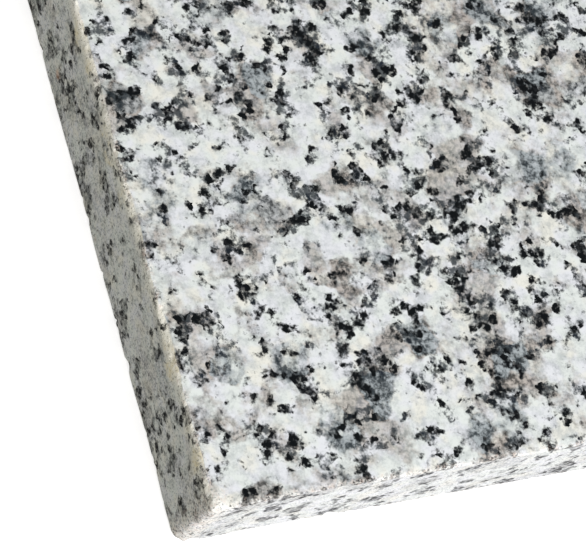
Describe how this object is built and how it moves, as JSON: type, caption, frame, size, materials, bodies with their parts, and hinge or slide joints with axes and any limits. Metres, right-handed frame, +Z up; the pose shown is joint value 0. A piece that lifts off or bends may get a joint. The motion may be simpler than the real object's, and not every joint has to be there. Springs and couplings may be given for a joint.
{
  "type": "granite slab",
  "caption": "Square bench slab of light speckled granite with a polished flat working face, sawn sides and eased edges, for cutting, punching and tooling leather on.",
  "frame": {"origin": "centre of the underside, where the slab rests on the bench", "axes": "+Z up through the thickness to the working face, +X to the right along the front edge, +Y to the back"},
  "size_m": [0.2, 0.2, 0.02],
  "materials": {
    "granite": "polished working face, matt sawn sides and underside"
  },
  "bodies": {
    "root": {"slab": "granite"}
  },
  "joints": []
}
